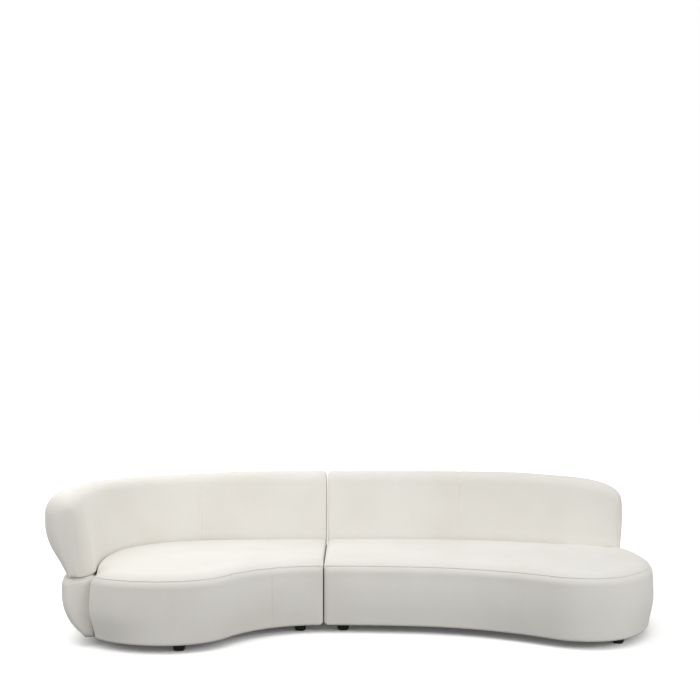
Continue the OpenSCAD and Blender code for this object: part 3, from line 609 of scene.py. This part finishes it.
# %% Run the cloth
scene = bpy.context.scene
scene.frame_start, scene.frame_end = 1, FRAMES
cloths = [blow_up(form) for form in forms]
for step in range(1, FRAMES + 1):
    scene.frame_set(step)
for form, piece in zip(forms, cloths):
    rows, cols = form["rest"].shape[:2]
    moved = coords(piece)[:-2].reshape(rows, -1, 3)[:, :cols] - form["rest"]
    rise = (moved * form["outward"]).sum(-1)
    kept = np.maximum(form["travel"] * np.tanh(rise / form["travel"]), form["small"])
    form["moved"] = ironed(kept * form["free"])[..., None] * form["outward"]
    print(form["name"], "cloth rose", round(float(rise.mean()) * 1000, 1), "mm, kept",
          round(float(kept.mean()) * 1000, 1), "mm")
    bpy.data.objects.remove(piece)
scene.frame_set(1)


# %% Finish the forms
def finish_form(form):
    """Adds the cloth's travel, doubles the grid, and presses each seam in by
    3 mm exp(-(d / 4 mm)²) + 1.5 mm exp(-(d / 22 mm)²) at a distance d from it. Puckers of
    0.6 mm run along both sides of it."""
    soft_move = form.get("moved", form["small"] * form["free"][..., None] * form["outward"])
    grid = doubled(form["rest"] + soft_move)
    grid = doubled(grid.swapaxes(0, 1)).swapaxes(0, 1)
    out = doubled(form["outward"], False)
    out = doubled(out.swapaxes(0, 1), False).swapaxes(0, 1)
    s = doubled(form["s"], False)
    shown = doubled(doubled(form["free"], False).swapaxes(0, 1), False).swapaxes(0, 1)
    for seam in form["seams"]:
        d = np.abs(s - seam)[:, None]
        press = 0.003 * np.exp(-((d / 0.004) ** 2)) + 0.0015 * np.exp(-((d / 0.022) ** 2))
        along = np.linspace(0, 1, grid.shape[1])[None, :] * grid.shape[1] / 7
        pucker = 0.0006 * np.sin(2 * np.pi * along) * np.exp(-((d - 0.006) / 0.008) ** 2)
        grid = grid - ((press + pucker) * (0.25 + 0.75 * shown))[..., None] * out
    rings = np.concatenate([grid, doubled(form["hidden"], False)], axis=1)
    ends = [closing_rings(rings[0], form["crowns"][0]),
            closing_rings(rings[-1], form["crowns"][1])[::-1]]
    piece = skin(form["name"], np.concatenate([ends[0], rings, ends[1]]))
    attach(piece, form["side"] + "_module")
    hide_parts(*form["nodes"])
    print(piece.name, len(piece.data.polygons), "faces")
    return piece


covers = [finish_form(form) for form in forms]

# %% [markdown]
# ## Seam panels and piping
#
# The flat side that faces the other module is covered by a thin fabric panel. A narrow
# piping is sewn into the seam round the seat. Both are small, so their sections are simply
# carried along a line.


# %% Seam panels
PANEL = [(0.003, 0.22), (0.003, 0.0465, 0.0036), (0.011, 0.0465, 0.0036), (0.011, 0.3985, 0.0036),
         (0.003, 0.3985, 0.0036), (0.003, 0.22)]
PANEL_Y0, PANEL_Y1 = 0.0432, 0.8915
PIPING_R = 0.0018


def seam_panel(side):
    """A rounded rectangle 8 mm thick carried from front to back. Near its ends it shrinks
    by 3 mm (1 - sin a)."""
    ring = evenly(line_of(PANEL, 4), 61)[:-1]
    a = np.linspace(0, np.pi / 2, 5)
    turn = 0.004 * (1 - np.cos(a))
    y = np.concatenate([PANEL_Y0 + turn, np.linspace(0.08, 0.86, 40), PANEL_Y1 - turn[::-1]])
    near_end = np.minimum(y - PANEL_Y0, PANEL_Y1 - y)
    d = np.interp(near_end, turn, 0.003 * (1 - np.sin(a)))[:, None]
    x = 0.007 + (ring[None, :, 0] - 0.007) * (1 - d / 0.0041)
    z = 0.2225 + (ring[None, :, 1] - 0.2225) * (1 - d / 0.178)
    piece = skin(f"seam_panel_{side}", stand(side, x, y[:, None], z))
    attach(piece, side + "_module")
    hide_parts(f"end_cover_{side}")
    return piece


def piping(side):
    """A round cord of 1.8 mm radius along the seat's seam: from the back along the gap,
    round the corner, and along the front line."""
    start = np.stack([np.full(40, 0.0045), np.linspace(0.86, 0.042, 40)], axis=1)
    a = np.linspace(0, np.pi / 2, 9)[1:-1]
    bend = np.stack([0.031 - 0.0265 * np.cos(a), 0.040 - 0.0275 * np.sin(a)], axis=1)
    s = np.linspace(0.031, FRONT_LEN[side] - 0.006, int(FRONT_LEN[side] / 0.011))
    run = np.stack(in_from_front(side, s, SEAM_IN - 0.0005), axis=1)
    path = np.concatenate([start, bend, run])
    slope = np.gradient(path, axis=0)
    slope = slope / np.linalg.norm(slope, axis=1, keepdims=True)
    turn = np.linspace(0, 2 * np.pi, 9)[:-1]
    x = path[:, :1] - PIPING_R * np.cos(turn) * slope[:, 1:]
    y = path[:, 1:] + PIPING_R * np.cos(turn) * slope[:, :1]
    z = SEAM_Z - PIPING_R + PIPING_R * np.sin(turn)[None, :]
    piece = skin(f"piping_{side}", stand(side, x, y, z))
    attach(piece, side + "_module")
    return piece


covers += [seam_panel(side) for side in SIDES] + [piping(side) for side in SIDES]
print(len(covers), "soft pieces")

# %% [markdown]
# ## Cream looped cloth
#
# The cover is a dense cloth with tiny loops, almost white with a warm cast. Its colour
# drifts slightly over a metre, each loop's hollow is darkened a little by painted shade,
# and the loops give a fine bump. Loops have no direction, so a pattern in space suits every surface.


# %% Small helpers for materials
def material(name, color, roughness, build=None, **sockets):
    """A Principled material. build(nodes, links, shader) adds its pattern."""
    mat = bpy.data.materials.new(name)
    mat.use_nodes = True
    nodes, links = mat.node_tree.nodes, mat.node_tree.links
    shader = nodes["Principled BSDF"]
    shader.inputs["Base Color"].default_value = (*color, 1)
    shader.inputs["Roughness"].default_value = roughness
    for key, value in sockets.items():
        shader.inputs[key.replace("_", " ")].default_value = value
    if build:
        build(nodes, links, shader)
    return mat


def new_nodes(nodes, *kinds):
    """One new shader node of each kind."""
    return [nodes.new("ShaderNode" + kind) for kind in kinds]


def place_of(nodes, links, scale=(1, 1, 1)):
    """Object coordinates, stretched by scale."""
    source, mapping = new_nodes(nodes, "TexCoord", "Mapping")
    mapping.inputs["Scale"].default_value = scale
    links.new(source.outputs["Object"], mapping.inputs["Vector"])
    return mapping.outputs["Vector"]


def noise(nodes, links, where, scale, detail=3.0, distortion=0.0):
    """Soft noise with about scale grains in a metre."""
    node = nodes.new("ShaderNodeTexNoise")
    node.inputs["Scale"].default_value = scale
    node.inputs["Detail"].default_value = detail
    node.inputs["Distortion"].default_value = distortion
    links.new(where, node.inputs["Vector"])
    return node.outputs["Fac"]


def ramp(nodes, links, value, stops):
    """Colours laid along a value: stops are (position, colour)."""
    node = nodes.new("ShaderNodeValToRGB")
    while len(node.color_ramp.elements) < len(stops):
        node.color_ramp.elements.new(0.5)
    for element, (position, color) in zip(node.color_ramp.elements, stops):
        element.position, element.color = position, (*color, 1)
    links.new(value, node.inputs["Fac"])
    return node.outputs["Color"]


def bump(nodes, links, shader, height, strength, distance):
    """Light bends as if the surface rose by distance where height is 1."""
    node = nodes.new("ShaderNodeBump")
    node.inputs["Strength"].default_value = strength
    node.inputs["Distance"].default_value = distance
    links.new(height, node.inputs["Height"])
    links.new(node.outputs["Normal"], shader.inputs["Normal"])


def mixed(nodes, links, kind, a, b, share=None, fixed=0.5):
    """Two colours or values put together: kind is a blend such as MULTIPLY."""
    node = nodes.new("ShaderNodeMix")
    node.data_type, node.blend_type = "RGBA", kind
    node.inputs["Factor"].default_value = fixed
    if share is not None:
        links.new(share, node.inputs["Factor"])
    links.new(a, node.inputs["A"])
    links.new(b, node.inputs["B"])
    return node.outputs["Result"]


# %% The cover cloth
def loops(nodes, links, shader):
    """Colour is a slow drift times painted shade in each loop's hollow; the bump is loops plus nap."""
    where = place_of(nodes, links)
    cells = nodes.new("ShaderNodeTexVoronoi")
    cells.inputs["Scale"].default_value = 380
    cells.inputs["Randomness"].default_value = 1.0
    links.new(where, cells.inputs["Vector"])
    drift = ramp(nodes, links, noise(nodes, links, where, 2.2, 2.0),
                 [(0.35, (0.800, 0.780, 0.728)), (0.65, (0.838, 0.822, 0.775))])
    # Painted shade: each loop darkens away from its middle, into the hollow between loops.
    shade = ramp(nodes, links, cells.outputs["Distance"],
                 [(0.0, (1.0, 1.0, 1.0)), (0.8, (0.90, 0.895, 0.885))])
    color = mixed(nodes, links, "MULTIPLY", drift, shade, fixed=1.0)
    links.new(color, shader.inputs["Base Color"])
    nap = noise(nodes, links, where, 950, 2.0)
    add = nodes.new("ShaderNodeMath")
    add.operation = "MULTIPLY_ADD"
    add.inputs[1].default_value = 0.5
    links.new(nap, add.inputs[0])
    inverse = nodes.new("ShaderNodeMath")
    inverse.operation = "SUBTRACT"
    inverse.inputs[0].default_value = 1.0
    links.new(cells.outputs["Distance"], inverse.inputs[1])
    links.new(inverse.outputs[0], add.inputs[2])
    bump(nodes, links, shader, add.outputs[0], 0.35, 0.0012)


cover_cloth = material("cream_loop_cloth", (0.82, 0.80, 0.75), 0.92, loops, Sheen_Weight=0.25,
                       Sheen_Roughness=0.5, Specular_IOR_Level=0.15)
for piece in covers:
    piece.data.materials.append(cover_cloth)

# %% [markdown]
# ## Plywood, stained wood, steel, felt, webbing and lining
#
# The frame is birch plywood: long pale grain on its faces and thin darker plies on its
# edges. The feet are turned wood stained nearly black under a satin coat. Springs and
# fittings are zinc-plated, and the pads, straps and lining are plain workshop textiles.


# %% Finishes of the frame
def ply_pattern(grain, plies):
    """Plywood: grain stretched along one axis on the faces, bands of 1.5 mm on the edges.
    Faces look along the axis plies."""
    def build(nodes, links, shader):
        where = place_of(nodes, links, grain)
        veneer = ramp(nodes, links, noise(nodes, links, where, 6, 6.0, 1.2),
                      [(0.3, (0.62, 0.46, 0.28)), (0.5, (0.72, 0.57, 0.37)), (0.75, (0.80, 0.66, 0.46))])
        bands = nodes.new("ShaderNodeTexWave")
        bands.bands_direction = plies
        bands.inputs["Scale"].default_value = 105
        bands.inputs["Distortion"].default_value = 0.4
        links.new(place_of(nodes, links), bands.inputs["Vector"])
        edge = ramp(nodes, links, bands.outputs["Fac"],
                    [(0.35, (0.36, 0.24, 0.13)), (0.65, (0.70, 0.54, 0.34))])
        normal, split, size = new_nodes(nodes, "NewGeometry", "SeparateXYZ", "Math")
        size.operation = "ABSOLUTE"
        links.new(normal.outputs["Normal"], split.inputs["Vector"])
        links.new(split.outputs[plies], size.inputs[0])
        share = ramp(nodes, links, size.outputs[0], [(0.5, (0, 0, 0)), (0.6, (1, 1, 1))])
        links.new(mixed(nodes, links, "MIX", edge, veneer, share), shader.inputs["Base Color"])
        bump(nodes, links, shader, noise(nodes, links, where, 40, 4.0), 0.25, 0.0006)
    return build


def stained(nodes, links, shader):
    """Nearly black wood: streaks stretched along the foot's height."""
    where = place_of(nodes, links, (30, 30, 4))
    grain = noise(nodes, links, where, 5, 6.0, 0.6)
    links.new(ramp(nodes, links, grain, [(0.3, (0.003, 0.0026, 0.0024)), (0.7, (0.009, 0.0076, 0.0066))]),
              shader.inputs["Base Color"])
    links.new(ramp(nodes, links, grain, [(0.2, (0.40,) * 3), (0.8, (0.55,) * 3)]),
              shader.inputs["Roughness"])
    bump(nodes, links, shader, grain, 0.15, 0.0004)


def plated(nodes, links, shader):
    """Zinc: blotchy roughness and a faint cloudiness."""
    where = place_of(nodes, links)
    cloud = noise(nodes, links, where, 90, 4.0)
    links.new(ramp(nodes, links, cloud, [(0.3, (0.52, 0.53, 0.55)), (0.7, (0.68, 0.69, 0.71))]),
              shader.inputs["Base Color"])
    links.new(ramp(nodes, links, cloud, [(0.3, (0.28,) * 3), (0.7, (0.48,) * 3)]),
              shader.inputs["Roughness"])


def fibres(low, high, scale):
    """Pressed fibres: fine tangled noise in colour and bump."""
    def build(nodes, links, shader):
        where = place_of(nodes, links)
        tangle = noise(nodes, links, where, scale, 5.0, 2.0)
        links.new(ramp(nodes, links, tangle, [(0.35, low), (0.65, high)]), shader.inputs["Base Color"])
        bump(nodes, links, shader, tangle, 0.5, 0.0008)
    return build


def woven(nodes, links, shader):
    """Webbing: ribs every 3 mm down the strap's height."""
    ribs = nodes.new("ShaderNodeTexWave")
    ribs.bands_direction = "Z"
    ribs.inputs["Scale"].default_value = 52
    ribs.inputs["Distortion"].default_value = 0.6
    links.new(place_of(nodes, links), ribs.inputs["Vector"])
    links.new(ramp(nodes, links, ribs.outputs["Fac"],
                   [(0.2, (0.05, 0.05, 0.06)), (0.8, (0.20, 0.20, 0.22))]),
              shader.inputs["Base Color"])
    bump(nodes, links, shader, ribs.outputs["Fac"], 0.5, 0.0006)


plate_ply = material("birch_ply_flat", (0.72, 0.57, 0.37), 0.62, ply_pattern((1, 9, 9), "Z"))
board_ply = material("birch_ply_upright", (0.72, 0.57, 0.37), 0.62, ply_pattern((9, 9, 1), "X"))
dark_wood = material("stained_wood", (0.02, 0.017, 0.015), 0.4, stained, Specular_IOR_Level=0.2,
                     Coat_Weight=0.03, Coat_Roughness=0.35)
zinc = material("zinc_plated_steel", (0.6, 0.61, 0.63), 0.35, plated, Metallic=1.0)
felt = material("needled_felt", (0.3, 0.3, 0.29), 0.95,
                fibres((0.22, 0.22, 0.21), (0.40, 0.40, 0.38), 700), Sheen_Weight=0.2)
webbing = material("elastic_webbing", (0.12, 0.12, 0.13), 0.85, woven)
lining = material("non_woven_lining", (0.04, 0.04, 0.045), 0.9,
                  fibres((0.025, 0.025, 0.028), (0.06, 0.06, 0.065), 900))

# %% Give the CAD nodes their finishes
FINISHES = [
    (("base_panel", "deck_left", "deck_right", "top_rail", "waist_rail"), plate_ply),
    (("front_wall", "end_board", "deck_posts", "back_ribs"), board_ply),
    (("spring_felt", "foot_glides"), felt),
    (("springs", "spring_clips", "foot_bolts", "tee_nuts", "connector", "clamp_screws",
      "tongue_screws"), zinc),
    (("back_straps",), webbing),
    (("dust_cover",), lining),
    (("foot_left", "foot_right"), dark_wood),
]
for name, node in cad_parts.items():
    finish = next((mat for starts, mat in FINISHES if name.startswith(starts)), cover_cloth)
    for slot in node.material_slots:
        slot.material = finish
print("finished", len(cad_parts), "nodes")

# %% [markdown]
# ## Room, light and camera
#
# Most light comes from a dome. A key lamp stands far off at the front right, a weaker one in
# front, three hang overhead, and a small one lifts the arm. The floor throws back only a
# third of the light, so upright faces come out darker than the seat. The camera sees it
# paler: two equal dull parts, and a glow that grows with the distance, because the lamps
# fade there. So only the shadow under the hem stands out. The air is seen white.


# %% Floor and world
def looked_at(nodes, links):
    """1 for camera, glossy and transmitted rays, which see the room, and 0 for the light."""
    path, first, second = new_nodes(nodes, "LightPath", "Math", "Math")
    first.operation = second.operation = "MAXIMUM"
    links.new(path.outputs["Is Camera Ray"], first.inputs[0])
    links.new(path.outputs["Is Glossy Ray"], first.inputs[1])
    links.new(first.outputs[0], second.inputs[0])
    links.new(path.outputs["Is Transmission Ray"], second.inputs[1])
    return second.outputs[0]


REACH = 30.0
DOME = 0.61
mesh = bpy.data.meshes.new("floor")
floor_corners = [(-REACH, -REACH, 0), (REACH, -REACH, 0), (REACH, REACH, 0), (-REACH, REACH, 0)]
mesh.from_pydata(floor_corners, [], [(0, 1, 2, 3)])
floor = bpy.data.objects.new("floor", mesh)
scene.collection.objects.link(floor)
floor_mat = bpy.data.materials.new("pale_floor")
floor_mat.use_nodes = True
nodes, links = floor_mat.node_tree.nodes, floor_mat.node_tree.links
nodes.clear()
seen = looked_at(nodes, links)
dull, pale, glow = new_nodes(nodes, "BsdfDiffuse", "BsdfDiffuse", "Emission")
twice, both, pick, out = new_nodes(nodes, "AddShader", "AddShader", "MixShader", "OutputMaterial")
dull.inputs["Color"].default_value = (0.34, 0.34, 0.34, 1)
pale.inputs["Color"].default_value = (0.64, 0.64, 0.64, 1)
glow.inputs["Color"].default_value = (1, 1, 1, 1)
spot, away, fade = new_nodes(nodes, "TexCoord", "VectorMath", "MapRange")
away.operation = "LENGTH"
links.new(spot.outputs["Object"], away.inputs[0])
links.new(away.outputs["Value"], fade.inputs["Value"])
for key, value in (("From Min", 1.6), ("From Max", 6.0), ("To Min", 0.06), ("To Max", 0.60)):
    fade.inputs[key].default_value = value
links.new(fade.outputs["Result"], glow.inputs["Strength"])
links.new(pale.outputs[0], twice.inputs[0])
links.new(pale.outputs[0], twice.inputs[1])
links.new(twice.outputs[0], both.inputs[0])
links.new(glow.outputs[0], both.inputs[1])
links.new(seen, pick.inputs[0])
links.new(dull.outputs[0], pick.inputs[1])
links.new(both.outputs[0], pick.inputs[2])
links.new(pick.outputs[0], out.inputs["Surface"])
floor.data.materials.append(floor_mat)

world = bpy.data.worlds.new("studio")
scene.world = world
world.use_nodes = True
nodes, links = world.node_tree.nodes, world.node_tree.links
nodes.clear()
seen = looked_at(nodes, links)
dome, white, pick, out = new_nodes(nodes, "Background", "Background", "MixShader", "OutputWorld")
dome.inputs["Color"].default_value = (1.0, 1.0, 1.0, 1)
dome.inputs["Strength"].default_value = DOME
white.inputs["Color"].default_value = (1, 1, 1, 1)
white.inputs["Strength"].default_value = 1.0
links.new(seen, pick.inputs[0])
links.new(dome.outputs[0], pick.inputs[1])
links.new(white.outputs[0], pick.inputs[2])
links.new(pick.outputs[0], out.inputs["Surface"])
print("floor", 2 * REACH, "m wide, dome strength", DOME)


# %% Lamps
def lamp(name, place, aim, size, power):
    """A square area lamp that looks from place at aim."""
    data = bpy.data.lights.new(name, "AREA")
    data.shape, data.size, data.energy = "SQUARE", size, power
    piece = bpy.data.objects.new(name, data)
    scene.collection.objects.link(piece)
    piece.location = place
    way = np.array(aim, float) - np.array(place, float)
    yaw = np.arctan2(way[1], way[0]) - np.pi / 2
    tilt = np.arctan2(np.hypot(way[0], way[1]), -way[2])
    piece.rotation_euler = (tilt, 0, yaw)
    return piece


# Name, place, the point it looks at, size in metres, power in watts.
lamp("key_lamp_right", (6.5, -5.5, 3.6), (0.0, 0.0, 0.4), 3.0, 195)
lamp("front_lamp", (0.5, -8.0, 3.0), (0.0, 0.0, 0.4), 4.0, 36)
lamp("overhead_lamp_left", (-1.8, -0.8, 3.6), (-1.0, -0.2, 0.4), 2.5, 29)
lamp("overhead_lamp_behind", (-2.5, 2.0, 4.0), (-0.5, 0.0, 0.5), 3.0, 62)
lamp("overhead_lamp_right", (0.7, -0.5, 3.4), (0.7, -0.3, 0.4), 2.5, 6)
lamp("arm_lamp_left", (-3.6, -2.2, 1.6), (-1.3, 0.0, 0.5), 1.6, 14)

# %% Camera
camera_data = bpy.data.cameras.new("camera")
camera = bpy.data.objects.new("camera", camera_data)
scene.collection.objects.link(camera)
camera.location = (-0.018, -6.628, 1.474)
camera.rotation_euler = (np.pi / 2, 0, 0)
camera_data.lens, camera_data.sensor_width, camera_data.shift_y = 54.0, 36.0, 0.053
scene.camera = camera
scene.view_settings.view_transform = "Standard"
print("camera at", [round(c, 3) for c in camera.location], "with a lens of", camera_data.lens, "mm")
